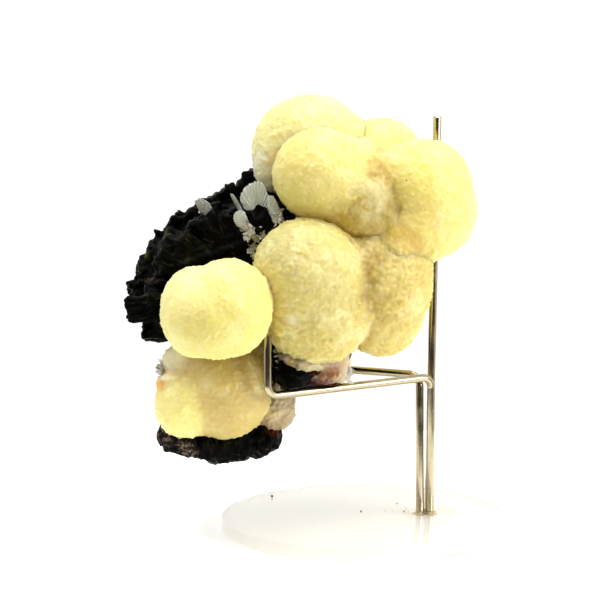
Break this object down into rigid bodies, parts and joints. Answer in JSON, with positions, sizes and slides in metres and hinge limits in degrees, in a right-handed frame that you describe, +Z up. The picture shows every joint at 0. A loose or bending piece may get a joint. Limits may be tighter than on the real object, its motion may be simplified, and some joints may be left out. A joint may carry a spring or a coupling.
{
  "type": "stilbite with epidote specimen",
  "caption": "Mineral specimen of pale yellow stilbite balls on green-black epidote, resting on a bent-rod stand with a clear disc base.",
  "frame": {"origin": "middle of the clear disc's underside", "axes": "+Z up along the rods, +X towards the side of the stand where the rods stand in the disc, -Y towards the viewer of the side that the picture shows"},
  "size_m": [0.096, 0.0794, 0.1098],
  "materials": {
    "clear_acrylic": "clear, polished",
    "bright_steel": "bright drawn",
    "yellow_stilbite": "fine crystal tips, pearly",
    "white_stilbite": "translucent, pearly",
    "epidote": "glassy, striated"
  },
  "bodies": {
    "root": {"base_disc": "clear_acrylic", "near_arm_rod": "bright_steel", "far_arm_rod": "bright_steel", "back_rod": "bright_steel", "stilbite_balls": "yellow_stilbite", "stilbite_balls_lower": "yellow_stilbite", "stilbite_balls_far": "yellow_stilbite", "stilbite_blades": "white_stilbite", "stilbite_crystal_left": "white_stilbite", "epidote_cluster": "epidote"}
  },
  "joints": []
}
